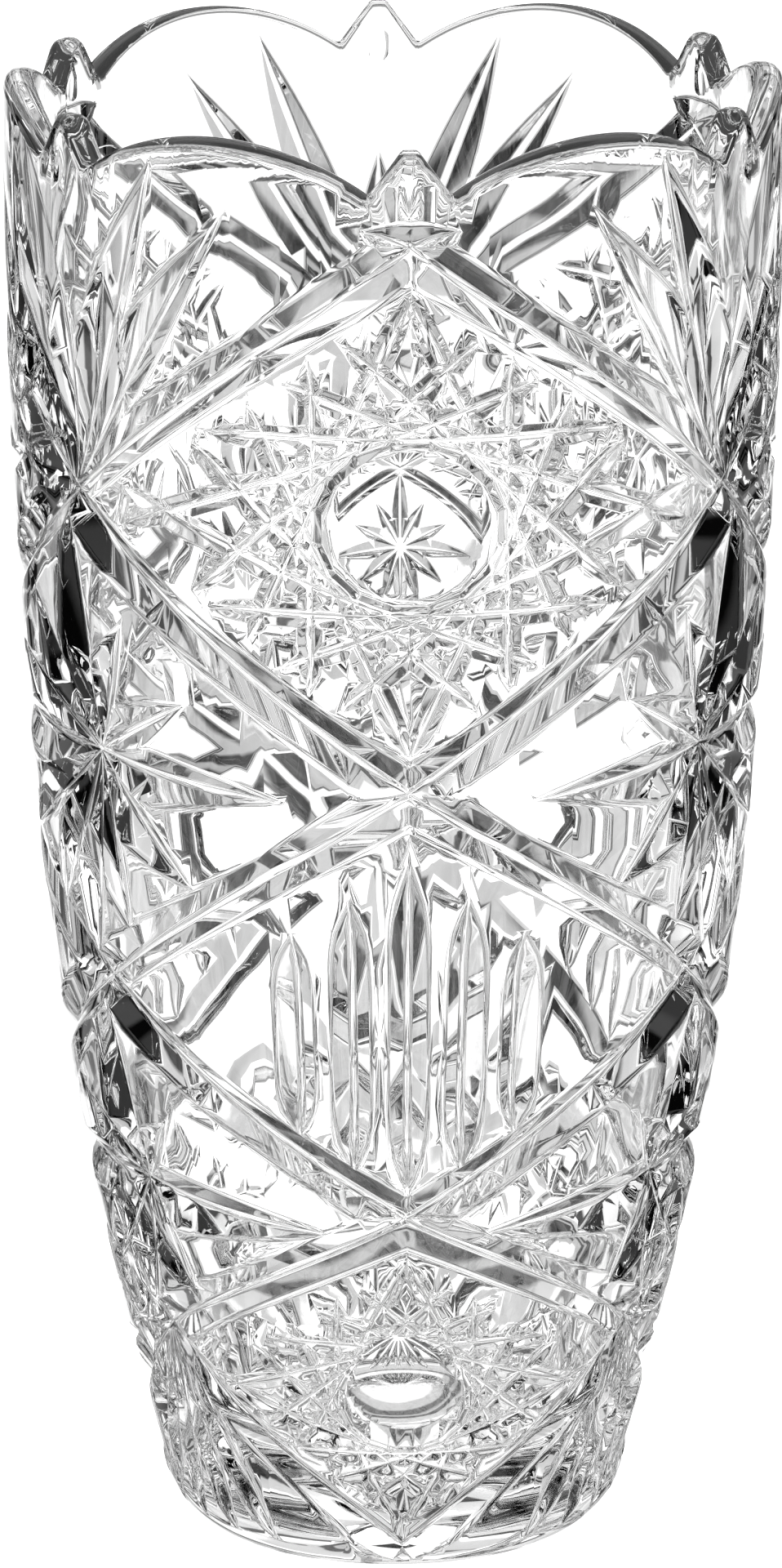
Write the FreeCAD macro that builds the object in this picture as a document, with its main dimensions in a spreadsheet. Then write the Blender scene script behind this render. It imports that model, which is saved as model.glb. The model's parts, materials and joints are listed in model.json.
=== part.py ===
import FreeCAD, Part
import Sketcher
import math
import os

# Cut crystal vase: one thick-walled piece of pressed and wheel-cut glass.
# Frame: +Z up, millimetres, origin at the centre of the foot. The diamond
# column at the front looks along -Y. Turns are degrees about Z from the front.

Vector = FreeCAD.Vector
doc = FreeCAD.newDocument("crystal_vase")

# ---------------------------------------------------------------- size sheet
SIZES = [
    # outline of the glass, outside
    ("vase_height", 250.0),
    ("rim_radius", 64.5),
    ("waist_radius", 61.3),
    ("waist_height", 142.0),
    ("heel_top_radius", 39.8),
    ("heel_top_height", 12.0),
    ("foot_radius", 33.5),
    ("upper_bulge_radius", 1187.0),
    ("lower_bulge_radius", 594.0),
    ("heel_round_radius", 14.0),
    # underside
    ("foot_recess_radius", 27.0),
    ("foot_recess_depth", 2.2),
    # cavity
    ("rim_wall", 5.0),
    ("waist_wall", 8.0),
    ("cavity_low_radius", 34.6),
    ("cavity_low_height", 28.0),
    ("cavity_upper_bulge_radius", 1460.0),
    ("cavity_lower_bulge_radius", 585.0),
    ("floor_thickness", 17.0),
    ("floor_flat_radius", 24.0),
    ("floor_corner_radius", 13.0),
    # rim: one arch in each sixth and a pointed cusp between two arches
    ("arch_half_width", 26.0),
    ("arch_rise", 8.0),
    ("cusp_tip_drop", 0.6),
    ("cusp_tip_width", 2.6),
    ("cusp_foot_width", 13.9),
    ("cusp_dimple_drop", 8.4),
    ("cusp_dimple_depth", 0.7),
    ("cusp_dimple_wheel_radius", 8.5),
    ("cusp_dimple_edge_radius", 3.7),
    # lattice of deep V grooves, level 0 hangs from the rim
    ("lattice_top_drop", 16.5),
    ("lattice_level_1", 187.0),
    ("lattice_level_2", 142.0),
    ("lattice_level_3", 103.0),
    ("lattice_level_4", 66.5),
    ("lattice_level_5", 40.0),
    ("lattice_level_6", 4.0),
    ("lattice_depth", 2.8),
    ("crossing_depth", 3.2),
    ("top_petal_turn", 6.9),
    ("top_petal_rise", 3.2),
    ("groove_half_angle", 54.0),
    # sixteen-pointed rosettes
    ("rosette_height", 187.5),
    ("rosette_half_width", 29.5),
    ("rosette_half_height", 26.5),
    ("rosette_reach_width", 55.0),
    ("rosette_reach_height", 38.6),
    ("rosette_cut_depth", 1.9),
    ("lens_radius", 13.0),
    ("lens_depth", 2.6),
    ("low_rosette_height", 33.0),
    ("low_rosette_half_width", 21.0),
    ("low_rosette_half_height", 18.5),
    ("low_rosette_reach_width", 40.0),
    ("low_rosette_reach_height", 26.4),
    ("low_rosette_cut_depth", 1.5),
    ("low_lens_radius", 9.4),
    ("low_lens_depth", 1.9),
    # five upright flutes in the middle diamond
    ("flute_spacing", 10.2),
    ("flute_depth", 2.4),
    ("flute_centre_top", 130.5),
    ("flute_centre_bottom", 72.5),
    ("flute_inner_top", 124.3),
    ("flute_inner_bottom", 76.2),
    ("flute_outer_top", 117.5),
    ("flute_outer_bottom", 82.5),
    # fan above each gap star, tips hang from the rim
    ("fan_inner_turn", 19.5),
    ("fan_inner_drop", 6.0),
    ("fan_outer_turn", 32.0),
    ("fan_outer_drop", 12.0),
    ("fan_centre_drop", 27.0),
    ("fan_start_depth", 2.4),
    ("fan_depth", 3.3),
    # star at lattice level 2: turn and height of each ray tip
    ("star_depth", 4.3),
    ("star_ray_depth", 3.1),
    ("star_ray_1_turn", 12.0),
    ("star_ray_1_height", 166.4),
    ("star_ray_2_turn", 24.0),
    ("star_ray_2_height", 155.0),
    ("star_ray_3_turn", 39.7),
    ("star_ray_3_height", 140.5),
    ("star_ray_4_turn", 24.0),
    ("star_ray_4_height", 123.4),
    ("star_ray_5_turn", 10.3),
    ("star_ray_5_height", 113.0),
    # star at lattice level 4
    ("low_star_depth", 4.2),
    ("low_star_ray_depth", 3.0),
    ("low_star_ray_1_turn", 13.0),
    ("low_star_ray_1_height", 79.5),
    ("low_star_ray_2_turn", 45.9),
    ("low_star_ray_2_height", 64.0),
    ("low_star_ray_3_turn", 16.0),
    ("low_star_ray_3_height", 47.5),
    # fan below lattice level 5
    ("foot_fan_inner_turn", 12.5),
    ("foot_fan_outer_turn", 25.5),
    ("foot_fan_tip_height", 4.5),
    ("foot_fan_start_depth", 2.6),
    ("foot_fan_depth", 2.4),
]

sheet = doc.addObject("Spreadsheet::Sheet", "Sizes")
for row, (name, value) in enumerate(SIZES, start=1):
    sheet.set("A%d" % row, name)
    sheet.set("B%d" % row, repr(value))
    sheet.setAlias("B%d" % row, name)
doc.recompute()


def size(name):
    """Value of one named size, read back from the sheet."""
    return float(getattr(sheet, name))


# ------------------------------------------------------- turned glass blank
blank = doc.addObject("PartDesign::Body", "Blank")
blank.Label = "turned_blank"
plane = [f for f in blank.Origin.OriginFeatures if f.Role == "XZ_Plane"][0]
outline = blank.newObject("Sketcher::SketchObject", "Outline")
outline.AttachmentSupport = [(plane, "")]
outline.MapMode = "FlatFace"


def centre_of(start, end, radius):
    """Centre of the arc from start to end that runs anticlockwise."""
    (x0, y0), (x1, y1) = start, end
    half = math.hypot(x1 - x0, y1 - y0) / 2
    away = math.sqrt(max(radius * radius - half * half, 0.0))
    ux = (x1 - x0) / (2 * half)
    uy = (y1 - y0) / (2 * half)
    return ((x0 + x1) / 2 - uy * away, (y0 + y1) / 2 + ux * away)


def arc_geometry(start, end, radius):
    """Sketch arc that runs anticlockwise from start to end."""
    cx, cy = centre_of(start, end, radius)
    first = math.atan2(start[1] - cy, start[0] - cx)
    last = math.atan2(end[1] - cy, end[0] - cx)
    circle = Part.Circle(Vector(cx, cy, 0), Vector(0, 0, 1), radius)
    return Part.ArcOfCircle(circle, first, last)


HEIGHT = size("vase_height")
FOOT = (size("foot_radius"), 0.0)
HEEL = (size("heel_top_radius"), size("heel_top_height"))
WAIST = (size("waist_radius"), size("waist_height"))
RIM = (size("rim_radius"), HEIGHT)
MOUTH = (size("rim_radius") - size("rim_wall"), HEIGHT)
INNER_WAIST = (size("waist_radius") - size("waist_wall"), size("waist_height"))
INNER_LOW = (size("cavity_low_radius"), size("cavity_low_height"))
FLOOR_EDGE = (size("floor_flat_radius"), size("floor_thickness"))
FLOOR_CENTRE = (0.0, size("floor_thickness"))
RECESS_TOP = (0.0, size("foot_recess_depth"))
RECESS_EDGE = (size("foot_recess_radius"), 0.0)
recess_rise = size("foot_recess_depth")
RECESS_BALL = (RECESS_EDGE[0] ** 2 + recess_rise ** 2) / (2 * recess_rise)


def line_geometry(start, end):
    return Part.LineSegment(Vector(start[0], start[1], 0), Vector(end[0], end[1], 0))


# Each step of the outline: end point, arc radius name or None, and whether
# the arc runs anticlockwise on the way round.
START = RECESS_EDGE
STEPS = [
    (FOOT, None, True),
    (HEEL, "heel_round_radius", True),
    (WAIST, "lower_bulge_radius", True),
    (RIM, "upper_bulge_radius", True),
    (MOUTH, None, True),
    (INNER_WAIST, "cavity_upper_bulge_radius", False),
    (INNER_LOW, "cavity_lower_bulge_radius", False),
    (FLOOR_EDGE, "floor_corner_radius", False),
    (FLOOR_CENTRE, None, True),
    (RECESS_TOP, None, True),
]
corner = START
ends = []
for target, bulge, anticlockwise in STEPS:
    if bulge is None:
        index = outline.addGeometry(line_geometry(corner, target), False)
        ends.append((index, 1, 2, bulge))
    elif anticlockwise:
        index = outline.addGeometry(arc_geometry(corner, target, size(bulge)), False)
        ends.append((index, 1, 2, bulge))
    else:
        index = outline.addGeometry(arc_geometry(target, corner, size(bulge)), False)
        ends.append((index, 2, 1, bulge))
    corner = target
index = outline.addGeometry(arc_geometry(START, RECESS_TOP, RECESS_BALL), False)
ends.append((index, 2, 1, None))

for step, (index, first, last, bulge) in enumerate(ends):
    following = ends[(step + 1) % len(ends)]
    joint = Sketcher.Constraint("Coincident", index, last, following[0], following[1])
    outline.addConstraint(joint)


def fix(kind, index, spot, name, formula, value):
    """Name a distance from the sketch origin and bind it to the sheet."""
    number = outline.addConstraint(Sketcher.Constraint(kind, -1, 1, index, spot, value))
    outline.renameConstraint(number, name)
    outline.setExpression("Constraints." + name, formula)


POINT_SIZES = [
    ("foot", FOOT, "Sizes.foot_radius", None),
    ("heel", HEEL, "Sizes.heel_top_radius", "Sizes.heel_top_height"),
    ("waist", WAIST, "Sizes.waist_radius", "Sizes.waist_height"),
    ("rim", RIM, "Sizes.rim_radius", "Sizes.vase_height"),
    ("mouth", MOUTH, "Sizes.rim_radius - Sizes.rim_wall", "Sizes.vase_height"),
    ("inner_waist", INNER_WAIST, "Sizes.waist_radius - Sizes.waist_wall", "Sizes.waist_height"),
    ("inner_low", INNER_LOW, "Sizes.cavity_low_radius", "Sizes.cavity_low_height"),
    ("floor_edge", FLOOR_EDGE, "Sizes.floor_flat_radius", "Sizes.floor_thickness"),
    ("floor_centre", FLOOR_CENTRE, None, "Sizes.floor_thickness"),
    ("recess_top", RECESS_TOP, None, "Sizes.foot_recess_depth"),
    ("recess_edge", RECESS_EDGE, "Sizes.foot_recess_radius", None),
]
for step, (name, point, across, up) in enumerate(POINT_SIZES):
    index, first, last, bulge = ends[step]
    if across is None:
        outline.addConstraint(Sketcher.Constraint("PointOnObject", index, last, -2))
    else:
        fix("DistanceX", index, last, name + "_across", across, point[0])
    if up is None:
        outline.addConstraint(Sketcher.Constraint("PointOnObject", index, last, -1))
    else:
        fix("DistanceY", index, last, name + "_up", up, point[1])
    if bulge is not None:
        number = outline.addConstraint(Sketcher.Constraint("Radius", index, size(bulge)))
        outline.renameConstraint(number, bulge)
        outline.setExpression("Constraints." + bulge, "Sizes." + bulge)
# the recess is part of a ball whose centre stays on the axis
outline.addConstraint(Sketcher.Constraint("PointOnObject", ends[-1][0], 3, -2))

turned = blank.newObject("PartDesign::Revolution", "Turned")
turned.Profile = outline
turned.ReferenceAxis = (outline, ["V_Axis"])
turned.Angle = 360.0
blank.Tip = turned
doc.recompute()

# --------------------------------------------------------- surface and paths
SIXTH = 60.0
THIRD = 120.0
UPPER_CENTRE = centre_of(WAIST, RIM, size("upper_bulge_radius"))
LOWER_CENTRE = centre_of(HEEL, WAIST, size("lower_bulge_radius"))


def radius_at(height):
    """Outside radius of the uncut glass; the arcs simply run on past the ends."""
    if height >= WAIST[1]:
        centre, bulge = UPPER_CENTRE, size("upper_bulge_radius")
    else:
        centre, bulge = LOWER_CENTRE, size("lower_bulge_radius")
    return centre[0] + math.sqrt(bulge * bulge - (height - centre[1]) ** 2)


def on_glass(turn, height, depth):
    """Point a given depth under the outside of the uncut glass."""
    reach = radius_at(height) - depth
    angle = math.radians(turn)
    return Vector(reach * math.sin(angle), -reach * math.cos(angle), height)


TOOL_HEIGHT = 7.0
END_OVERRUN = 0.5


def wheel_cut(start, middle, end):
    """V-edged cutting wheel swept along the circle through three points.

    The point of the V follows the circle and its two flanks open outwards,
    so the tool removes one mitred groove.
    """
    to_start = start - middle
    to_end = end - middle
    cross = to_start.cross(to_end)
    offset = cross.cross(to_start) * to_end.dot(to_end) + to_end.cross(cross) * to_start.dot(to_start)
    centre = middle + offset * (1.0 / (2.0 * cross.dot(cross)))
    track = (middle - centre).Length
    axis = Vector(cross)
    axis.normalize()
    across = middle - centre
    across.normalize()
    along = axis.cross(across)
    outward = Vector(middle.x, middle.y, 0)
    side = 1.0 if across.dot(outward) > 0 else -1.0

    def turn_of(point):
        ray = point - centre
        return math.atan2(along.dot(ray), across.dot(ray))

    first, last = sorted((turn_of(start), turn_of(end)))
    first -= END_OVERRUN / track
    last += END_OVERRUN / track
    flank = TOOL_HEIGHT * math.tan(math.radians(size("groove_half_angle")))

    def section(radius, shift):
        ray = across * math.cos(first) + along * math.sin(first)
        return centre + ray * radius + axis * shift

    tip = section(track, 0.0)
    outer = track + side * TOOL_HEIGHT
    wire = Part.makePolygon([tip, section(outer, flank), section(outer, -flank), tip])
    return Part.Face(wire).revolve(centre, axis, math.degrees(last - first))


def straight_on_glass(turn_0, height_0, turn_1, height_1, depths):
    """Wheel cut between two surface points with depths at start, middle, end."""
    middle_turn = (turn_0 + turn_1) / 2
    middle_height = (height_0 + height_1) / 2
    return wheel_cut(
        on_glass(turn_0, height_0, depths[0]),
        on_glass(middle_turn, middle_height, depths[1]),
        on_glass(turn_1, height_1, depths[2]),
    )


LEVELS = [HEIGHT - size("lattice_top_drop")]
LEVELS += [size("lattice_level_%d" % number) for number in range(1, 7)]


def lattice_cuts():
    """Grooves that join neighbouring columns at successive levels."""
    cuts = []
    deep = size("crossing_depth")
    plain = size("lattice_depth")
    for column, way in ((0, 1), (0, -1), (THIRD, -1)):
        for step in range(6):
            begin, finish = (0, SIXTH) if step % 2 == 0 else (SIXTH, 0)
            begin = column + way * begin
            finish = column + way * finish
            cuts.append(straight_on_glass(
                begin, LEVELS[step], finish, LEVELS[step + 1], (deep, plain, deep)))
    for way in (1, -1):
        tip_turn = way * size("top_petal_turn")
        tip_height = LEVELS[0] + size("top_petal_rise")
        cuts.append(wheel_cut(
            on_glass(0, LEVELS[0], deep),
            on_glass(tip_turn / 2, (LEVELS[0] + tip_height) / 2 + 0.2, deep * 0.6),
            on_glass(tip_turn, tip_height, 0)))
    return cuts


def rosette_cuts(prefix, lens):
    """Sixteen chords between ellipse points five apart, run on to the diamond."""
    centre = size(prefix + "rosette_height")
    half_width = size(prefix + "rosette_half_width")
    half_height = size(prefix + "rosette_half_height")
    reach_width = size(prefix + "rosette_reach_width")
    reach_height = size(prefix + "rosette_reach_height")
    depth = size(prefix + "rosette_cut_depth")

    def run_out(inside, outside):
        """Where the chord reaches the diamond, going from inside to outside."""
        best = 1.0
        for step in range(1, 400):
            share = 1.0 + step * 0.01
            x = inside[0] + (outside[0] - inside[0]) * share
            y = inside[1] + (outside[1] - inside[1]) * share
            if abs(x) / reach_width + abs(y) / reach_height > 1.0:
                break
            best = share
        return (inside[0] + (outside[0] - inside[0]) * best,
                inside[1] + (outside[1] - inside[1]) * best)

    points = []
    for number in range(16):
        angle = math.radians(11.25 + 22.5 * number)
        points.append((half_width * math.cos(angle), half_height * math.sin(angle)))
    cuts = []
    for number in range(16):
        first = points[number]
        last = points[(number + 5) % 16]
        tip_0 = run_out(last, first)
        tip_1 = run_out(first, last)
        middle = ((first[0] + last[0]) / 2, (first[1] + last[1]) / 2)
        if max(tip_0[0], tip_1[0]) < 0:
            continue
        spots = []
        for (x, y), below in ((tip_0, 0.0), (middle, depth), (tip_1, 0.0)):
            height = centre + y
            turn = math.degrees(x / radius_at(height))
            spots.append(on_glass(turn, height, below))
        cuts.append(wheel_cut(spots[0], spots[1], spots[2]))
    cuts.append(lens)
    return cuts


def lens_tool(height, footprint, depth):
    """Barrel-shaped wheel that leaves a round hollow on the curved wall."""
    edge = footprint * footprint / (2 * depth)
    glass = radius_at(height)
    barrel = 1.0 / (1.0 / edge - 1.0 / glass)
    hub = -(glass - depth + barrel)
    half = math.radians(50.0)
    ring = hub + barrel - edge
    low = Vector(0, ring + edge * math.cos(half), height - edge * math.sin(half))
    nose = Vector(0, ring + edge, height)
    high = Vector(0, ring + edge * math.cos(half), height + edge * math.sin(half))
    profile = Part.Wire([Part.Arc(low, nose, high).toShape(), Part.makeLine(high, low)])
    face = Part.Face(profile)
    axis_point = Vector(0, hub, 0)
    face.rotate(axis_point, Vector(0, 0, 1), -40.0)
    return face.revolve(axis_point, Vector(0, 0, 1), 80.0)


def flute_cuts():
    """Upright lens-ended flutes of the middle diamond."""
    cuts = []
    depth = size("flute_depth")
    for number, name in ((0, "centre"), (1, "inner"), (2, "outer")):
        turn = number * size("flute_spacing")
        top = size("flute_%s_top" % name)
        bottom = size("flute_%s_bottom" % name)
        cuts.append(straight_on_glass(turn, top, turn, bottom, (0, depth, 0)))
    cuts.append(straight_on_glass(
        -size("flute_spacing"), size("flute_inner_top"),
        -size("flute_spacing"), size("flute_inner_bottom"), (0, depth, 0)))
    return cuts


def rays_from(height, start_depth, middle_depth, tips):
    """Lens-ended rays that leave one gap-column point."""
    cuts = []
    for turn, tip_height in tips:
        cuts.append(straight_on_glass(
            SIXTH, height, SIXTH + turn, tip_height, (start_depth, middle_depth, 0)))
    return cuts


def both_ways(tips):
    """Each tip and its mirror image across the gap column."""
    result = []
    for turn, height in tips:
        result.append((-turn, height))
        result.append((turn, height))
    return result


def gap_cuts():
    """Fans and stars on the gap column at one sixth of a turn."""
    cuts = []
    fan_tips = both_ways([
        (size("fan_inner_turn"), HEIGHT - size("fan_inner_drop")),
        (size("fan_outer_turn"), HEIGHT - size("fan_outer_drop")),
    ])
    fan_tips.append((0.0, HEIGHT - size("fan_centre_drop")))
    cuts += rays_from(LEVELS[1], size("fan_start_depth"), size("fan_depth"), fan_tips)

    star_tips = both_ways([
        (size("star_ray_%d_turn" % number), size("star_ray_%d_height" % number))
        for number in range(1, 6)
    ])
    star_tips += [(0.0, LEVELS[1]), (0.0, LEVELS[3])]
    cuts += rays_from(LEVELS[2], size("star_depth"), size("star_ray_depth"), star_tips)

    low_tips = both_ways([
        (size("low_star_ray_%d_turn" % number), size("low_star_ray_%d_height" % number))
        for number in range(1, 4)
    ])
    low_tips += [(0.0, LEVELS[3]), (0.0, LEVELS[5])]
    cuts += rays_from(LEVELS[4], size("low_star_depth"), size("low_star_ray_depth"), low_tips)

    foot_tip = size("foot_fan_tip_height")
    foot_tips = both_ways([
        (size("foot_fan_inner_turn"), foot_tip),
        (size("foot_fan_outer_turn"), foot_tip),
    ])
    foot_tips.append((0.0, foot_tip))
    cuts += rays_from(LEVELS[5], size("foot_fan_start_depth"), size("foot_fan_depth"), foot_tips)
    return cuts


def prism(points, turn):
    """Outline drawn on the vase side at one turn, pushed out from the axis."""
    wire = Part.makePolygon([Vector(x, 0, z) for x, z in points + points[:1]])
    solid = Part.Face(wire).extrude(Vector(0, -2 * RIM[0], 0))
    solid.rotate(Vector(0, 0, 0), Vector(0, 0, 1), turn)
    return solid


def rim_tool():
    """Everything above the arch and the cusps of one sixth of the rim."""
    high = HEIGHT + 10.0
    low = HEIGHT - 30.0
    half = size("arch_half_width")
    rise = size("arch_rise")
    bend = (half * half + rise * rise) / (2 * rise)
    wide = half * 1.12
    drop = bend - math.sqrt(bend * bend - wide * wide)
    left = Vector(-wide, 0, HEIGHT - drop)
    crown = Vector(0, 0, HEIGHT)
    right = Vector(wide, 0, HEIGHT - drop)
    edges = [
        Part.Arc(left, crown, right).toShape(),
        Part.makeLine(right, Vector(wide, 0, low)),
        Part.makeLine(Vector(wide, 0, low), Vector(-wide, 0, low)),
        Part.makeLine(Vector(-wide, 0, low), left),
    ]
    arch = Part.Face(Part.Wire(edges)).extrude(Vector(0, -2 * RIM[0], 0))
    arch.rotate(Vector(0, 0, 0), Vector(0, 0, 1), SIXTH / 2)
    tip = HEIGHT - size("cusp_tip_drop")
    narrow = size("cusp_tip_width") / 2
    foot = size("cusp_foot_width") / 2
    valley = HEIGHT - rise
    slope = (foot - narrow) / (tip - valley)
    spread = narrow + slope * (tip - low)
    tent = [(-spread, low), (spread, low), (narrow, tip), (-narrow, tip)]
    block = Part.makeBox(4 * RIM[0], 4 * RIM[0], high - low, Vector(-2 * RIM[0], -2 * RIM[0], low))
    tool = block.cut(arch)
    tool = tool.cut(prism(tent, 0.0))
    tool = tool.cut(prism(tent, SIXTH))
    return tool


def dimple_tool(turn):
    """Small round-edged wheel for the hollow under a cusp."""
    wheel = size("cusp_dimple_wheel_radius")
    edge = size("cusp_dimple_edge_radius")
    height = HEIGHT - size("cusp_dimple_drop")
    reach = radius_at(height) - size("cusp_dimple_depth") + wheel
    tool = Part.makeTorus(wheel - edge, edge, Vector(0, -reach, height), Vector(1, 0, 0))
    tool.rotate(Vector(0, 0, 0), Vector(0, 0, 1), turn)
    return tool


# -------------------------------------------- cut one sixth, then mirror it
def wedge():
    """Block that keeps the sixth from the front column to the next gap."""
    far = 3 * RIM[0]
    corners = [Vector(0, 0, -20)]
    for turn in (0.0, SIXTH / 2, SIXTH):
        angle = math.radians(turn)
        corners.append(Vector(far * math.sin(angle), -far * math.cos(angle), -20))
    corners.append(corners[0])
    return Part.Face(Part.makePolygon(corners)).extrude(Vector(0, 0, HEIGHT + 60))


sixth = blank.Shape.common(wedge())
tools = [rim_tool()]
tools += lattice_cuts()
tools += gap_cuts()
tools += flute_cuts()
tools += rosette_cuts("", lens_tool(size("rosette_height"), size("lens_radius"), size("lens_depth")))
tools += rosette_cuts("low_", lens_tool(
    size("low_rosette_height"), size("low_lens_radius"), size("low_lens_depth")))
tools += [dimple_tool(0.0), dimple_tool(SIXTH)]
for tool in tools:
    sixth = sixth.cut(tool)
# thin ridges that neighbouring grooves cut loose fall away
sixth = max(sixth.Solids, key=lambda solid: solid.Volume)


def on_mirror_plane(face):
    """True for the two flat faces left by the wedge."""
    centre = face.CenterOfMass
    for turn in (0.0, SIXTH):
        angle = math.radians(turn)
        normal = Vector(math.cos(angle), math.sin(angle), 0)
        if abs(centre.dot(normal)) < 1e-4 and isinstance(face.Surface, Part.Plane):
            if abs(abs(face.Surface.Axis.dot(normal)) - 1.0) < 1e-6:
                return True
    return False


skin = Part.makeCompound([face for face in sixth.Faces if not on_mirror_plane(face)])
pair = [skin, skin.mirror(Vector(0, 0, 0), Vector(1, 0, 0))]
patches = []
for number in range(3):
    for piece in pair:
        placed = piece.copy()
        placed.rotate(Vector(0, 0, 0), Vector(0, 0, 1), THIRD * number)
        patches += placed.Faces
closed = Part.makeCompound(patches)
closed.sewShape()
glass = Part.makeSolid(max(closed.Shells, key=lambda shell: shell.Area))
if glass.Volume < 0:
    glass.reverse()

vase = doc.addObject("Part::Feature", "Vase")
vase.Label = "vase_body"
vase.Shape = glass
vase.Placement = FreeCAD.Placement()
doc.recompute()

# -------------------------------------------------------------- check, write
for item in doc.Objects:
    for flag in item.State:
        if flag in ("Invalid", "Error"):
            raise RuntimeError("%s is %s" % (item.Name, flag))
if vase.Shape.isNull() or not vase.Shape.isValid():
    raise RuntimeError("vase_body has no valid shape")

os.makedirs("parts", exist_ok=True)
vase.Shape.exportStep("parts/%s.step" % vase.Label)
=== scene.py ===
import json
import math

import bmesh
import bpy
from mathutils import Matrix, Vector

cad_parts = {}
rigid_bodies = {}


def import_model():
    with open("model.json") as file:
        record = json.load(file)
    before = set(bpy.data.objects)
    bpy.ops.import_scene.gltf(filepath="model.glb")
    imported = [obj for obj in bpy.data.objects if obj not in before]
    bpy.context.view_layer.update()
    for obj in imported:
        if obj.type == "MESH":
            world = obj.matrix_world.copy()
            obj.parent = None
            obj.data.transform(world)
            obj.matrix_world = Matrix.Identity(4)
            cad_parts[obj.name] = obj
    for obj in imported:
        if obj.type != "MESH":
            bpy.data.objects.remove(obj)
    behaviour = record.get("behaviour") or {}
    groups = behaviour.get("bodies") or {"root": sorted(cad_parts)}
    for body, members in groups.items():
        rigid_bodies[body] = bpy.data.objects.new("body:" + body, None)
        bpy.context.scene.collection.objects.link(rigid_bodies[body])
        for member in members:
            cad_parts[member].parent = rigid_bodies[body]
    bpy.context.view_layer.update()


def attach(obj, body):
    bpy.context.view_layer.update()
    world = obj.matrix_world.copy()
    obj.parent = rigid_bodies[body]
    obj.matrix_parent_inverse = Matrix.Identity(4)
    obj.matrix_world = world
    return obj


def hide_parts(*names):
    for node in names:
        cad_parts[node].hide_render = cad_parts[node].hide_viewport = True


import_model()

# Sizes of the glass are in millimetres and its turns in degrees about the
# axis, counted from the front column. The finished mesh is scaled to metres.
MM = 0.001
SIXTH = 60.0
THIRD = 120.0
COLUMNS = 3

# ------------------------------------------------- outline: (radius, height)
RECESS_TOP = (0.0, 2.2)
RECESS_EDGE = (27.0, 0.0)
FOOT = (33.5, 0.0)
HEEL = (39.8, 12.0)
WAIST = (61.3, 142.0)
RIM = (64.5, 250.0)
MOUTH = (59.5, 250.0)
INNER_WAIST = (53.3, 142.0)
INNER_LOW = (34.6, 28.0)
FLOOR_EDGE = (24.0, 17.0)
FLOOR_CENTRE = (0.0, 17.0)
HEIGHT = RIM[1]
RECESS_BALL = 167.0
HEEL_ROUND = 14.0
LOWER_BULGE = 594.0
UPPER_BULGE = 1187.0
CAVITY_UPPER_BULGE = 1460.0
CAVITY_LOWER_BULGE = 585.0
FLOOR_CORNER = 13.0
# start, end, radius of the arc (negative where hollow, 0 for a straight line) and steps
OUTLINE = (
    (RECESS_TOP, RECESS_EDGE, -RECESS_BALL, 8),
    (RECESS_EDGE, FOOT, 0, 3),
    (FOOT, HEEL, HEEL_ROUND, 8),
    (HEEL, WAIST, LOWER_BULGE, 22),
    (WAIST, RIM, UPPER_BULGE, 16),
    (RIM, MOUTH, 0, 2),
    (MOUTH, INNER_WAIST, -CAVITY_UPPER_BULGE, 16),
    (INNER_WAIST, INNER_LOW, -CAVITY_LOWER_BULGE, 18),
    (INNER_LOW, FLOOR_EDGE, -FLOOR_CORNER, 8),
    (FLOOR_EDGE, FLOOR_CENTRE, 0, 5),
)
SEGMENTS = 192
# points closer than this are one point
MERGE = 0.001
# edges sharper than this stay crisp, all others are polished over
CRISP_ANGLE = 65.0

# ------------------------------------------------------------- scalloped rim
ARCH_RISE = 8.0
VALLEY_TURN = 6.2
CUSP_TIP_TURN = 1.2
CUSP_TIP_DROP = 0.6
RIM_ROUND = 2.2
# the rounding of the rim starts this far inside the mouth
MOUTH_INSET = 0.4
RIM_ROUND_STEPS = 4
RIM_SEGMENTS = 720
RIM_TOOL_INNER = 45.0
RIM_TOOL_OUTER = 80.0
RIM_TOOL_TOP = 10.0
DIMPLE_DROP = 8.4
DIMPLE_DEPTH = 0.7
DIMPLE_WHEEL = 8.5
DIMPLE_EDGE = 3.7
DIMPLE_HALF_SECTION = 70
DIMPLE_SWEEP = 80
DIMPLE_STEPS = 16
CUSPS = 6

# ---------------------------------------------------- section of every groove
FLANK_SLOPE = 36.0
LIP_SLOPE = 5.0
LIP_STEPS = 3
LIP_ROUND = 3.0
BOTTOM_FLAT = 0.2
BOTTOM_RISE = 0.12
BOTTOM_ROUND = 0.85
TOOL_ABOVE = 0.03
TOOL_TOP = 1.3
TOOL_FLARE = 0.25
LEAST_STRAIGHT = 0.01
LEAST_ROLLED = 0.004
# depth beyond the tip of a cut, where its tool is clear of the glass
BEYOND_TIP = -0.02

# ------------------------------------------------------------------- lattice
# heights of the crossings, on the front columns and the gap columns by turns
LEVELS = (233.5, 187.0, 142.0, 103.0, 66.5, 40.0, 4.0)
LATTICE_DEPTH = 2.65
CROSSING_DEPTH = 3.2
LATTICE_STEPS = 16
LATTICE_OVERRUN = (0.006, 0.006)
TOP_PETAL_TURN = 6.9
TOP_PETAL_RISE = 3.2
TOP_PETAL_DEPTHS = (3.2, 2.1)
TOP_PETAL_STEPS = 8
TOP_PETAL_OVERRUN = (0.0, 0.05)

# ------------------------------------------------------------ upright flutes
# place in the row, top and bottom
FLUTES = ((-2, 117.0, 82.5), (-1, 123.4, 76.2), (0, 129.8, 72.5), (1, 123.4, 76.2), (2, 117.0, 82.5))
FLUTE_SPACING = 9.4
FLUTE_DEPTH = 3.4
FLUTE_BLUNTNESS = 5.0
FLUTE_LIP = 2.0
FLUTE_SLOPE = 46.0
FLUTE_STEPS = 16
FLUTE_OVERRUN = (0.03, 0.03)

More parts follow.
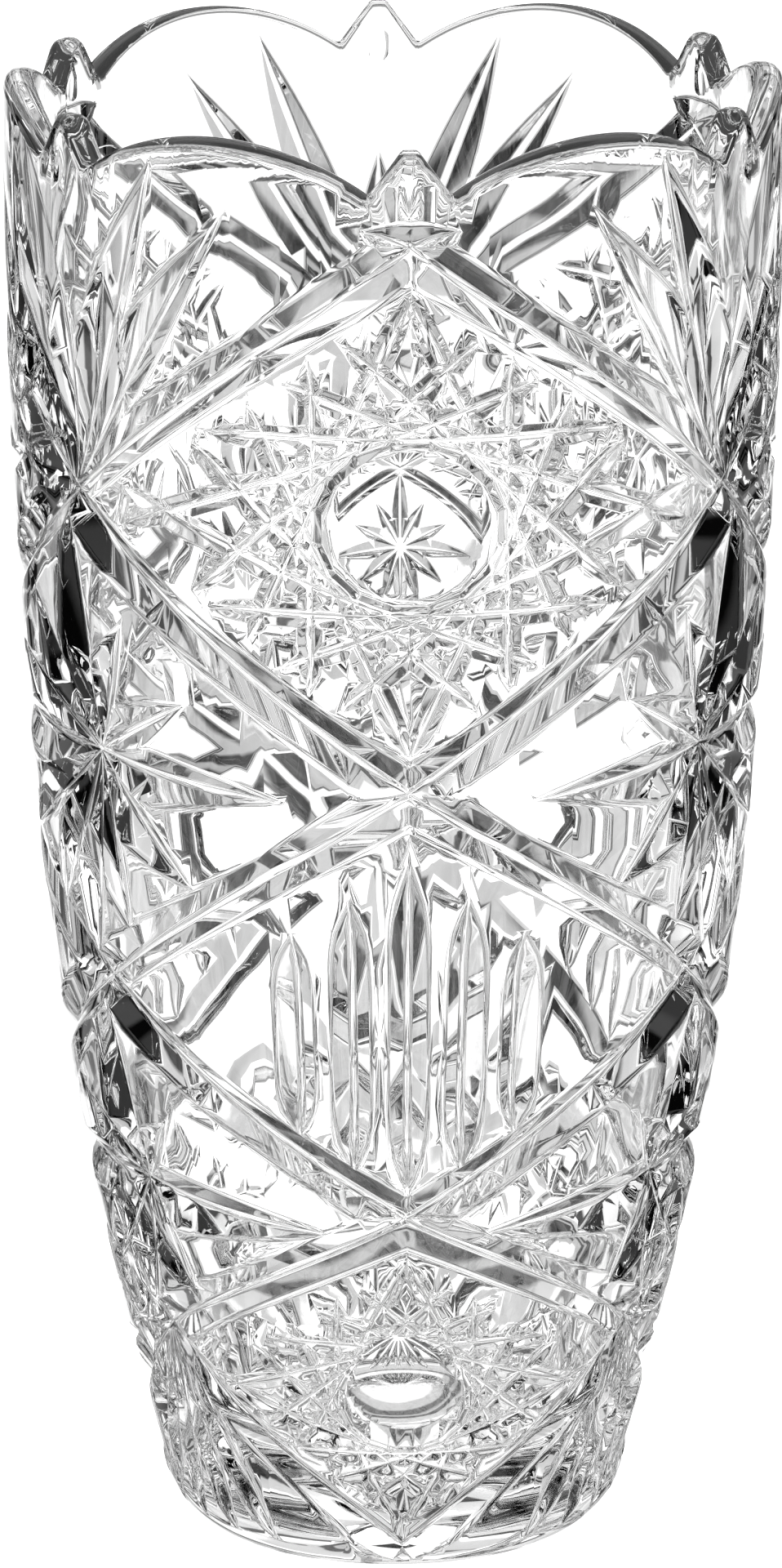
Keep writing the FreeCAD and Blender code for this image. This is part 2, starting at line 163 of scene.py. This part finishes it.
# ------------------------------------------- rays: (turn, height) of each tip
# depths are those at the root and halfway along
RAY_STEPS = 14
RAY_OVERRUN = (0.02, 0.03)
FAN_DEPTHS = (2.4, 3.3)
FAN_PAIRS = ((19.5, 244.0), (32.0, 238.0))
FAN_MIDDLE = ((0.0, 223.0),)
STAR_DEPTHS = (4.3, 3.1)
STAR_PAIRS = ((12.0, 166.4), (24.0, 155.0), (39.7, 140.5), (24.0, 123.4), (10.3, 113.0))
STAR_MIDDLE = ((0.0, LEVELS[1]), (0.0, LEVELS[3]))
LOW_STAR_DEPTHS = (4.2, 3.0)
LOW_STAR_PAIRS = ((13.0, 79.5), (45.9, 64.0), (16.0, 47.5))
LOW_STAR_MIDDLE = ((0.0, LEVELS[3]), (0.0, LEVELS[5]))
FOOT_FAN_DEPTHS = (2.6, 2.4)
FOOT_FAN_PAIRS = ((12.5, 4.5), (25.5, 4.5))
FOOT_FAN_MIDDLE = ((0.0, 4.5),)

# ------------------------------------------------------------------ rosettes
POINTS = 16
CHORD_SPAN = 5
CHORD_STEPS = 22
CHORD_LIP = 1.0
CHORD_BLUNTNESS = 12.0
CHORD_REACH_STEP = 0.01
CHORD_REACH_TRIES = 400
LENS_HALF_SECTION = 34
LENS_SECTION_STEPS = 32
LENS_SWEEP = 40
LENS_SWEEP_STEPS = 24
# half: the oval of the chord points, reach: the diamond in which the chords end
ROSETTES = (
    {"name": "rosette", "height": 187.5, "half": (29.5, 26.5), "reach": (55.0, 38.6),
     "depth": 1.4, "lens": 13.0, "lens_depth": 2.6},
    {"name": "low_rosette", "height": 33.0, "half": (21.0, 18.5), "reach": (40.0, 26.4),
     "depth": 1.05, "lens": 9.4, "lens_depth": 1.9},
)


# ------------------------------------------------------------------- outline
def arc_centre(start, end, radius):
    """Centre of the arc that runs anticlockwise from start to end."""
    half = math.dist(start, end) / 2
    away = math.sqrt(radius * radius - half * half)
    ux = (end[0] - start[0]) / (2 * half)
    uy = (end[1] - start[1]) / (2 * half)
    return ((start[0] + end[0]) / 2 - uy * away, (start[1] + end[1]) / 2 + ux * away)


def arc_points(start, end, radius, count):
    """Points after start up to end, anticlockwise for a positive radius."""
    if radius < 0:
        back = [end] + arc_points(end, start, -radius, count)
        return list(reversed(back))[1:]
    cx, cy = arc_centre(start, end, radius)
    first = math.atan2(start[1] - cy, start[0] - cx)
    last = math.atan2(end[1] - cy, end[0] - cx)
    points = []
    for step in range(1, count + 1):
        angle = first + (last - first) * step / count
        points.append((cx + radius * math.cos(angle), cy + radius * math.sin(angle)))
    return points


def line_points(start, end, count):
    """Evenly spaced points after start up to end."""
    points = []
    for step in range(1, count + 1):
        share = step / count
        points.append((start[0] + (end[0] - start[0]) * share,
                       start[1] + (end[1] - start[1]) * share))
    return points


UPPER_CENTRE = arc_centre(WAIST, RIM, UPPER_BULGE)
LOWER_CENTRE = arc_centre(HEEL, WAIST, LOWER_BULGE)


def radius_at(height):
    """Outside radius of the uncut glass."""
    if height >= WAIST[1]:
        centre, bulge = UPPER_CENTRE, UPPER_BULGE
    else:
        centre, bulge = LOWER_CENTRE, LOWER_BULGE
    return centre[0] + math.sqrt(bulge * bulge - (height - centre[1]) ** 2)


def on_glass(turn, height, depth):
    """Point a given depth under the outside of the uncut glass."""
    reach = radius_at(height) - depth
    angle = math.radians(turn)
    return Vector((reach * math.sin(angle), -reach * math.cos(angle), height))


def mesh_object(bm, name):
    """Object at the origin that holds a finished bmesh."""
    mesh = bpy.data.meshes.new(name)
    bm.to_mesh(mesh)
    bm.free()
    item = bpy.data.objects.new(name, mesh)
    bpy.context.scene.collection.objects.link(item)
    return item


def turned_blank():
    """Thick-walled glass turned from its outline."""
    outline = [RECESS_TOP]
    for start, end, radius, steps in OUTLINE:
        if radius:
            outline += arc_points(start, end, radius, steps)
        else:
            outline += line_points(start, end, steps)
    bm = bmesh.new()
    verts = [bm.verts.new((0, -radius, height)) for radius, height in outline]
    edges = [bm.edges.new(pair) for pair in zip(verts, verts[1:])]
    bmesh.ops.spin(bm, geom=verts + edges, cent=(0, 0, 0), axis=(0, 0, 1),
                   angle=math.tau, steps=SEGMENTS, use_merge=True)
    bmesh.ops.remove_doubles(bm, verts=bm.verts, dist=MERGE)
    bmesh.ops.recalc_face_normals(bm, faces=bm.faces)
    return mesh_object(bm, "vase_glass")


# ------------------------------------------------------------- cutting tools
TOOLS = bpy.data.collections.new("cutting_tools")
bpy.context.scene.collection.children.link(TOOLS)


def keep_tool(bm, name):
    """Closes the ends of a tool and files it with the cutting tools."""
    bmesh.ops.holes_fill(bm, edges=bm.edges, sides=0)
    bmesh.ops.recalc_face_normals(bm, faces=bm.faces)
    mesh = bpy.data.meshes.new(name)
    bm.to_mesh(mesh)
    bm.free()
    TOOLS.objects.link(bpy.data.objects.new(name, mesh))


def turn_tool(bm, centre, degrees, axis):
    """Turns a whole tool about an axis through centre."""
    turning = Matrix.Rotation(math.radians(degrees), 3, axis)
    bmesh.ops.rotate(bm, verts=bm.verts, cent=centre, matrix=turning)


def sweep_wheel(bm, verts, hub, axis, degrees, steps):
    """Sweeps a wheel's edge section about its hub, equally to both sides."""
    letter = "X" if axis[0] else "Z"
    face = bm.faces.new(verts)
    turn_tool(bm, hub, -degrees / 2, letter)
    bmesh.ops.spin(bm, geom=[face] + list(face.verts) + list(face.edges), cent=hub,
                   axis=axis, angle=math.radians(degrees), steps=steps)


def half_section(depth, lip_round, steep):
    """Half of a groove's section as (offset, depth), from its bottom upwards.

    The bottom is slightly round, the flank is straight, and the lip rolls
    over into the glass.
    """
    lip = math.radians(LIP_SLOPE)
    flank = math.radians(steep)
    slope = math.tan(flank)
    fall = depth + TOOL_ABOVE
    rolled = lip_round * (math.cos(lip) - math.cos(flank))
    if fall <= rolled:
        rolled_share = max(fall - LEAST_STRAIGHT, LEAST_ROLLED) / lip_round
        flank = math.acos(max(math.cos(lip) - rolled_share, -1.0))
        rolled = lip_round * (math.cos(lip) - math.cos(flank))
    straight = max(fall - rolled, LEAST_STRAIGHT) / slope
    lip_start = BOTTOM_FLAT + straight
    if straight > 2 * BOTTOM_ROUND:
        points = [(BOTTOM_FLAT, depth - BOTTOM_RISE),
                  (BOTTOM_ROUND, depth - slope * (BOTTOM_ROUND - BOTTOM_FLAT))]
    else:
        points = [(BOTTOM_FLAT, depth),
                  (BOTTOM_FLAT + straight / 2, (depth + rolled - TOOL_ABOVE) / 2)]
    points.append((lip_start, rolled - TOOL_ABOVE))
    for step in range(1, LIP_STEPS + 1):
        angle = flank + (lip - flank) * step / LIP_STEPS
        points.append((lip_start + lip_round * (math.sin(flank) - math.sin(angle)),
                       lip_round * (math.cos(lip) - math.cos(angle)) - TOOL_ABOVE))
    points.append((points[-1][0] + TOOL_FLARE, -TOOL_TOP))
    return points


def section_corners(spot, before, after, lip_round, steep):
    """Corners of a groove's section at one spot, square to its path."""
    turn, height, depth = spot
    around = math.radians(after[0] - before[0]) * radius_at(height)
    rise = after[1] - before[1]
    length = math.hypot(around, rise)
    half = half_section(depth, lip_round, steep)
    corners = []
    for side, points in ((-1, reversed(half)), (1, half)):
        for offset, below in points:
            x = -side * offset * rise / length
            y = side * offset * around / length
            here = turn + math.degrees(x / radius_at(height))
            corners.append(on_glass(here, height + y, below))
    return corners


def v_groove(path, name, lip_round=LIP_ROUND, steep=FLANK_SLOPE):
    """Soft-lipped V cut that follows (turn, height, depth) spots on the glass."""
    bm = bmesh.new()
    ring = []
    for number, spot in enumerate(path):
        before = path[max(number - 1, 0)]
        after = path[min(number + 1, len(path) - 1)]
        corners = section_corners(spot, before, after, lip_round, steep)
        if not ring:
            ring = [bm.verts.new(corner) for corner in corners]
            edges = [bm.edges.new(pair) for pair in zip(ring, ring[1:] + ring[:1])]
            continue
        made = bmesh.ops.extrude_edge_only(bm, edges=edges)["geom"]
        new = {item for item in made if isinstance(item, bmesh.types.BMVert)}
        edges = [item for item in made if isinstance(item, bmesh.types.BMEdge)
                 and item.verts[0] in new and item.verts[1] in new]
        ring = [next(edge.other_vert(old) for edge in old.link_edges if edge.other_vert(old) in new)
                for old in ring]
        for vert, corner in zip(ring, corners):
            vert.co = corner
    keep_tool(bm, name)


def spots_between(start, end, depth_of, steps, over):
    """Evenly spaced (turn, height, depth) spots, run over both ends by a share."""
    spots = []
    for step in range(steps + 1):
        share = -over[0] + (1 + over[0] + over[1]) * step / steps
        turn = start[0] + (end[0] - start[0]) * share
        height = start[1] + (end[1] - start[1]) * share
        spots.append((turn, height, depth_of(share)))
    return spots


def ray_depth(start_depth, middle_depth):
    """Depth along a ray: deep at its root and nothing at its tip."""
    bend = 2 * start_depth - 4 * middle_depth
    rise = 4 * middle_depth - 3 * start_depth

    def depth_of(share):
        if share > 1.0:
            return BEYOND_TIP
        inside = max(share, 0.0)
        return start_depth + rise * inside + bend * inside * inside
    return depth_of


def two_tipped_depth(deepest, bluntness):
    """Depth of a cut that runs out to a tip at both ends."""
    def depth_of(share):
        if share < 0.0 or share > 1.0:
            return BEYOND_TIP
        return deepest * (1 - abs(2 * share - 1) ** bluntness)
    return depth_of


def lattice_depth(share):
    """Depth of a lattice groove, deepest at its crossings."""
    inside = min(max(share, 0.0), 1.0)
    return LATTICE_DEPTH + (CROSSING_DEPTH - LATTICE_DEPTH) * (2 * inside - 1) ** 2


# --------------------------------------------------------------- the pattern
def cut_lattice():
    """Diagonal grooves between neighbouring columns, and petals at the top."""
    for column in range(COLUMNS):
        front = column * THIRD
        for way in (1, -1):
            for step in range(len(LEVELS) - 1):
                begin, finish = (0, SIXTH) if step % 2 == 0 else (SIXTH, 0)
                start = (front + way * begin, LEVELS[step])
                end = (front + way * finish, LEVELS[step + 1])
                v_groove(spots_between(start, end, lattice_depth, LATTICE_STEPS, LATTICE_OVERRUN),
                         "lattice_%d_%d_%d" % (column, way + 1, step))
            start = (front, LEVELS[0])
            end = (front + way * TOP_PETAL_TURN, LEVELS[0] + TOP_PETAL_RISE)
            v_groove(spots_between(start, end, ray_depth(*TOP_PETAL_DEPTHS),
                                   TOP_PETAL_STEPS, TOP_PETAL_OVERRUN),
                     "top_petal_%d_%d" % (column, way + 1))


def cut_rays(name, height, depths, pairs, middle):
    """Rays from one point of each gap column, in mirrored pairs and upright."""
    tips = []
    for turn, tip in pairs:
        tips += [(-turn, tip), (turn, tip)]
    tips += middle
    for column in range(COLUMNS):
        gap = column * THIRD + SIXTH
        for number, (turn, tip) in enumerate(tips):
            v_groove(spots_between((gap, height), (gap + turn, tip), ray_depth(*depths),
                                   RAY_STEPS, RAY_OVERRUN),
                     "%s_%d_%d" % (name, column, number))


def cut_flutes():
    """Row of upright flutes in the middle diamond of each front column."""
    for column in range(COLUMNS):
        for place, top, bottom in FLUTES:
            turn = column * THIRD + place * FLUTE_SPACING
            v_groove(spots_between((turn, top), (turn, bottom),
                                   two_tipped_depth(FLUTE_DEPTH, FLUTE_BLUNTNESS),
                                   FLUTE_STEPS, FLUTE_OVERRUN),
                     "flute_%d_%d" % (column, place), FLUTE_LIP, FLUTE_SLOPE)


def run_out(inside, outside, reach):
    """Where a chord through two points leaves the diamond of the given reach."""
    best = 1.0
    for step in range(1, CHORD_REACH_TRIES):
        share = 1.0 + step * CHORD_REACH_STEP
        x = inside[0] + (outside[0] - inside[0]) * share
        y = inside[1] + (outside[1] - inside[1]) * share
        if abs(x) / reach[0] + abs(y) / reach[1] > 1.0:
            break
        best = share
    return (inside[0] + (outside[0] - inside[0]) * best,
            inside[1] + (outside[1] - inside[1]) * best)


def cut_rosette(name, height, half, reach, depth, lens, lens_depth):
    """Sixteen crossing chords on an oval, round a hollow lens, per front column."""
    points = []
    for number in range(POINTS):
        angle = math.tau * (number + 0.5) / POINTS
        points.append((half[0] * math.cos(angle), half[1] * math.sin(angle)))
    depth_of = two_tipped_depth(depth, CHORD_BLUNTNESS)
    for column in range(COLUMNS):
        for number, first in enumerate(points):
            last = points[(number + CHORD_SPAN) % POINTS]
            start = run_out(last, first, reach)
            end = run_out(first, last, reach)
            spots = []
            for step in range(-1, CHORD_STEPS + 2):
                share = step / CHORD_STEPS
                x = start[0] + (end[0] - start[0]) * share
                level = height + start[1] + (end[1] - start[1]) * share
                turn = column * THIRD + math.degrees(x / radius_at(level))
                spots.append((turn, level, depth_of(share)))
            v_groove(spots, "%s_chord_%d_%d" % (name, column, number), CHORD_LIP)
        cut_lens(column * THIRD, height, lens, lens_depth, "%s_lens_%d" % (name, column))


def cut_lens(turn, height, footprint, depth, name):
    """Barrel-shaped wheel that leaves a round hollow on the curved wall."""
    edge = footprint * footprint / (2 * depth)
    glass = radius_at(height)
    barrel = 1.0 / (1.0 / edge - 1.0 / glass)
    hub = -(glass - depth + barrel)
    ring = hub + barrel - edge
    bm = bmesh.new()
    verts = []
    for step in range(LENS_SECTION_STEPS + 1):
        angle = math.radians(-LENS_HALF_SECTION + 2 * LENS_HALF_SECTION * step / LENS_SECTION_STEPS)
        verts.append(bm.verts.new((0, ring + edge * math.cos(angle), height + edge * math.sin(angle))))
    sweep_wheel(bm, verts, (0, hub, 0), (0, 0, 1), LENS_SWEEP, LENS_SWEEP_STEPS)
    turn_tool(bm, (0, 0, 0), turn, "Z")
    keep_tool(bm, name)


def rim_height(turn):
    """Height of the scalloped rim: arches between pointed cusps."""
    half = SIXTH / 2
    local = abs((turn + half) % SIXTH - half)
    reach = math.radians(half - VALLEY_TURN) * RIM[0]
    bend = (reach * reach + ARCH_RISE * ARCH_RISE) / (2 * ARCH_RISE)
    away = math.radians(half - local) * RIM[0]
    arch = HEIGHT - bend + math.sqrt(max(bend * bend - away * away, 0.0))
    tip = HEIGHT - CUSP_TIP_DROP
    valley = HEIGHT - ARCH_RISE
    slope = (tip - valley) / (VALLEY_TURN - CUSP_TIP_TURN)
    tent = tip - max(local - CUSP_TIP_TURN, 0.0) * slope
    return max(arch, tent)


def cut_rim():
    """Ring-shaped tool whose lower side is the scalloped, rounded rim."""
    inner = MOUTH[0] - MOUTH_INSET + RIM_ROUND
    outer = RIM[0] - RIM_ROUND
    section = [(RIM_TOOL_INNER, -RIM_ROUND)]
    for step in range(RIM_ROUND_STEPS + 1):
        angle = math.pi - math.pi / 2 * step / RIM_ROUND_STEPS
        section.append((inner + RIM_ROUND * math.cos(angle), RIM_ROUND * (math.sin(angle) - 1)))
    for step in range(RIM_ROUND_STEPS + 1):
        angle = math.pi / 2 - math.pi / 2 * step / RIM_ROUND_STEPS
        section.append((outer + RIM_ROUND * math.cos(angle), RIM_ROUND * (math.sin(angle) - 1)))
    section.append((RIM_TOOL_OUTER, -RIM_ROUND))
    bm = bmesh.new()
    verts = [bm.verts.new((0, -radius, lift)) for radius, lift in section]
    verts.append(bm.verts.new((0, -RIM_TOOL_OUTER, 2 * RIM_TOOL_TOP)))
    verts.append(bm.verts.new((0, -RIM_TOOL_INNER, 2 * RIM_TOOL_TOP)))
    edges = [bm.edges.new(pair) for pair in zip(verts, verts[1:] + verts[:1])]
    bmesh.ops.spin(bm, geom=verts + edges, cent=(0, 0, 0), axis=(0, 0, 1),
                   angle=math.tau, steps=RIM_SEGMENTS, use_merge=True)
    bmesh.ops.remove_doubles(bm, verts=bm.verts, dist=MERGE)
    for vert in bm.verts:
        if vert.co.z > RIM_TOOL_TOP:
            vert.co.z = HEIGHT + RIM_TOOL_TOP
        else:
            vert.co.z += rim_height(math.degrees(math.atan2(vert.co.x, -vert.co.y)))
    keep_tool(bm, "rim_tool")


def cut_dimples():
    """Thumb-shaped hollow under each cusp."""
    height = HEIGHT - DIMPLE_DROP
    hub = -(radius_at(height) - DIMPLE_DEPTH + DIMPLE_WHEEL)
    ring = hub + DIMPLE_WHEEL - DIMPLE_EDGE
    for number in range(CUSPS):
        bm = bmesh.new()
        verts = []
        for step in range(DIMPLE_STEPS + 1):
            angle = math.radians(-DIMPLE_HALF_SECTION + 2 * DIMPLE_HALF_SECTION * step / DIMPLE_STEPS)
            verts.append(bm.verts.new((DIMPLE_EDGE * math.sin(angle),
                                       ring + DIMPLE_EDGE * math.cos(angle), height)))
        sweep_wheel(bm, verts, (0, hub, height), (1, 0, 0), DIMPLE_SWEEP, DIMPLE_STEPS)
        turn_tool(bm, (0, 0, 0), number * SIXTH, "Z")
        keep_tool(bm, "dimple_%d" % number)


def carve(blank):
    """Takes all cutting tools out of the blank and leaves polished glass."""
    cut = blank.modifiers.new("cuts", "BOOLEAN")
    cut.operation = "DIFFERENCE"
    cut.operand_type = "COLLECTION"
    cut.collection = TOOLS
    cut.solver = "MANIFOLD"
    bpy.context.view_layer.update()
    finished = blank.evaluated_get(bpy.context.evaluated_depsgraph_get())
    carved = bpy.data.meshes.new_from_object(finished)
    blank.modifiers.clear()
    blank.data = carved
    for tool in list(TOOLS.objects):
        bpy.data.objects.remove(tool)
    bpy.data.collections.remove(TOOLS)
    bm = bmesh.new()
    bm.from_mesh(carved)
    bmesh.ops.scale(bm, vec=(MM, MM, MM), verts=bm.verts)
    for face in bm.faces:
        face.smooth = True
    bm.to_mesh(carved)
    bm.free()
    carved.set_sharp_from_angle(angle=math.radians(CRISP_ANGLE))


# ------------------------------------------------------------------ material
CRYSTAL_IOR = 1.54
WAVE_SCALE = 45.0
WAVE_DETAIL = 0.5
WAVE_HEIGHT = 0.5
FOOT_WEAR_TOP = 0.6
FOOT_ROUGHNESS = 0.1
POLISH_ROUGHNESS = 0.008


def crystal_material():
    """Clear lead crystal, faintly wavy from polishing, worn under its foot."""
    material = bpy.data.materials.new("lead_crystal")
    material.use_nodes = True
    nodes = material.node_tree.nodes
    links = material.node_tree.links
    shader = nodes["Principled BSDF"]
    shader.inputs["Base Color"].default_value = (1, 1, 1, 1)
    shader.inputs["Transmission Weight"].default_value = 1.0
    shader.inputs["IOR"].default_value = CRYSTAL_IOR
    place = nodes.new("ShaderNodeTexCoord")

    wave = nodes.new("ShaderNodeTexNoise")
    wave.inputs["Scale"].default_value = WAVE_SCALE
    wave.inputs["Detail"].default_value = WAVE_DETAIL
    bump = nodes.new("ShaderNodeBump")
    bump.inputs["Strength"].default_value = 1.0
    bump.inputs["Distance"].default_value = WAVE_HEIGHT * MM
    links.new(place.outputs["Object"], wave.inputs["Vector"])
    links.new(wave.outputs["Fac"], bump.inputs["Height"])
    links.new(bump.outputs["Normal"], shader.inputs["Normal"])

    spot = nodes.new("ShaderNodeSeparateXYZ")
    wear = nodes.new("ShaderNodeMapRange")
    wear.inputs["From Min"].default_value = FOOT_WEAR_TOP * MM
    wear.inputs["From Max"].default_value = 0.0
    wear.inputs["To Min"].default_value = POLISH_ROUGHNESS
    wear.inputs["To Max"].default_value = FOOT_ROUGHNESS
    links.new(place.outputs["Object"], spot.inputs["Vector"])
    links.new(spot.outputs["Z"], wear.inputs["Value"])
    links.new(wear.outputs["Result"], shader.inputs["Roughness"])
    return material


# ------------------------------------------------------------------ the vase
glass = turned_blank()
cut_rim()
cut_lattice()
cut_rays("fan", LEVELS[1], FAN_DEPTHS, FAN_PAIRS, FAN_MIDDLE)
cut_rays("star", LEVELS[2], STAR_DEPTHS, STAR_PAIRS, STAR_MIDDLE)
cut_rays("low_star", LEVELS[4], LOW_STAR_DEPTHS, LOW_STAR_PAIRS, LOW_STAR_MIDDLE)
cut_rays("foot_fan", LEVELS[5], FOOT_FAN_DEPTHS, FOOT_FAN_PAIRS, FOOT_FAN_MIDDLE)
cut_flutes()
for rosette in ROSETTES:
    cut_rosette(**rosette)
cut_dimples()
carve(glass)
glass.data.materials.clear()
glass.data.materials.append(crystal_material())
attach(glass, "root")
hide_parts("vase_body")

# ------------------------------------------------------- floor and backdrop
FLOOR_HALF = 8.0
FLOOR_DROP = 0.0002
DOME_RADIUS = 6.0


def glowing_white(name):
    """Matt white that gives off light of its own."""
    material = bpy.data.materials.new(name)
    material.use_nodes = True
    shader = material.node_tree.nodes["Principled BSDF"]
    shader.inputs["Base Color"].default_value = (0.9, 0.9, 0.9, 1)
    shader.inputs["Roughness"].default_value = 0.8
    shader.inputs["Emission Color"].default_value = (1, 1, 1, 1)
    shader.inputs["Emission Strength"].default_value = 1.0
    return material


def stage_piece(bm, name):
    """White piece of the stage, which leaves the glass to the light tent."""
    item = mesh_object(bm, name)
    item.data.materials.append(glowing_white("pale_" + name))
    item.visible_transmission = False
    item.visible_glossy = False
    item.visible_diffuse = False
    item.visible_shadow = False


bm = bmesh.new()
bmesh.ops.create_grid(bm, x_segments=1, y_segments=1, size=FLOOR_HALF)
bmesh.ops.translate(bm, verts=bm.verts, vec=(0, 0, -FLOOR_DROP))
stage_piece(bm, "floor")

bm = bmesh.new()
bmesh.ops.create_uvsphere(bm, u_segments=32, v_segments=16, radius=DOME_RADIUS)
stage_piece(bm, "backdrop")

# --------------------------------------------------------------- light tent
# A bright oval panel low on each side of the vase, in rings of grey and dark,
# under a bright overhead panel.
TENT_STRENGTH = 1.42
TENT_PERIOD = 90.0
PANEL_LIFT = -16.0
PANEL_HALF_WIDTH = 16.0
PANEL_HALF_HEIGHT = 14.0
RING_REACH = 4.0
# distance from the panel's middle in panel half sizes, and brightness
RING_ZONES = (
    (0.0, 1.0), (1.0, 1.0), (1.10, 0.48), (1.40, 0.44), (1.46, 0.03), (1.62, 0.02),
    (1.70, 0.36), (1.80, 0.38), (1.86, 0.02), (2.06, 0.02), (2.14, 0.46), (2.6, 0.52),
    (2.7, 0.9), (2.9, 0.9), (2.96, 0.03), (3.12, 0.03), (3.2, 0.55), (4.0, 0.7),
)
# degrees above the horizon, and the least brightness there
OVERHEAD_ZONES = (
    (-90, 0.9), (-66, 0.9), (-60, 0.0), (38, 0.0), (41, 1.0), (60, 1.0), (66, 0.6), (90, 0.6),
)

world = bpy.data.worlds.new("light_tent")
bpy.context.scene.world = world
world.use_nodes = True
tent_nodes = world.node_tree.nodes
tent_links = world.node_tree.links


def tent_math(operation, first, second=None):
    """Math node on one or two sockets or numbers."""
    node = tent_nodes.new("ShaderNodeMath")
    node.operation = operation
    for place, value in enumerate((first, second)):
        if isinstance(value, (int, float)):
            node.inputs[place].default_value = value
        elif value is not None:
            tent_links.new(value, node.inputs[place])
    return node.outputs[0]


def tent_zones(position, stops):
    """Grey levels at positions from 0 to 1."""
    node = tent_nodes.new("ShaderNodeValToRGB")
    tent_links.new(position, node.inputs["Fac"])
    marks = node.color_ramp.elements
    marks.remove(marks[-1])
    marks[0].position = stops[0][0]
    marks[0].color = (stops[0][1],) * 3 + (1,)
    for where, level in stops[1:]:
        marks.new(where).color = (level,) * 3 + (1,)
    return node.outputs["Color"]


look = tent_nodes.new("ShaderNodeTexCoord")
parts = tent_nodes.new("ShaderNodeSeparateXYZ")
tent_links.new(look.outputs["Generated"], parts.inputs[0])
turn = tent_math("ARCTAN2", parts.outputs["X"], parts.outputs["Y"])
turn = tent_math("DIVIDE", turn, math.radians(TENT_PERIOD))
across = tent_math("SUBTRACT", turn, tent_math("ROUND", turn))
across = tent_math("MULTIPLY", across, TENT_PERIOD / PANEL_HALF_WIDTH)
lift = tent_math("ARCSINE", parts.outputs["Z"])
above = tent_math("SUBTRACT", lift, math.radians(PANEL_LIFT))
above = tent_math("DIVIDE", above, math.radians(PANEL_HALF_HEIGHT))
away = tent_math("ADD", tent_math("MULTIPLY", across, across), tent_math("MULTIPLY", above, above))
away = tent_math("DIVIDE", tent_math("SQRT", away), RING_REACH)
overhead = tent_math("ADD", tent_math("DIVIDE", lift, math.pi), 0.5)
brighter = tent_nodes.new("ShaderNodeMix")
brighter.data_type = "RGBA"
brighter.blend_type = "LIGHTEN"
brighter.inputs[0].default_value = 1.0
ring_stops = [(reach / RING_REACH, level) for reach, level in RING_ZONES]
tent_links.new(tent_zones(away, ring_stops), brighter.inputs[6])
overhead_stops = [(degrees / 180 + 0.5, level) for degrees, level in OVERHEAD_ZONES]
tent_links.new(tent_zones(overhead, overhead_stops), brighter.inputs[7])
tent_links.new(brighter.outputs[2], tent_nodes["Background"].inputs["Color"])
tent_nodes["Background"].inputs["Strength"].default_value = TENT_STRENGTH

# -------------------------------------------------------------------- camera
CAMERA_PLACE = Vector((-0.0679, -1.6076, 0.579))
CAMERA_PITCH = math.radians(15.68)
CAMERA_LENS = 227.7
SENSOR_WIDTH = 36
CAMERA_SHIFT = -0.0017

camera = bpy.data.objects.new("camera", bpy.data.cameras.new("camera"))
bpy.context.scene.collection.objects.link(camera)
camera.location = CAMERA_PLACE
level = Vector((-CAMERA_PLACE.x, -CAMERA_PLACE.y, 0)).normalized()
aim = level * math.cos(CAMERA_PITCH) - Vector((0, 0, math.sin(CAMERA_PITCH)))
camera.rotation_mode = "QUATERNION"
camera.rotation_quaternion = aim.to_track_quat("-Z", "Y")
camera.data.lens = CAMERA_LENS
camera.data.sensor_width = SENSOR_WIDTH
camera.data.shift_x = CAMERA_SHIFT
camera.data.dof.use_dof = False
bpy.context.scene.camera = camera
bpy.context.scene.view_settings.view_transform = "Standard"
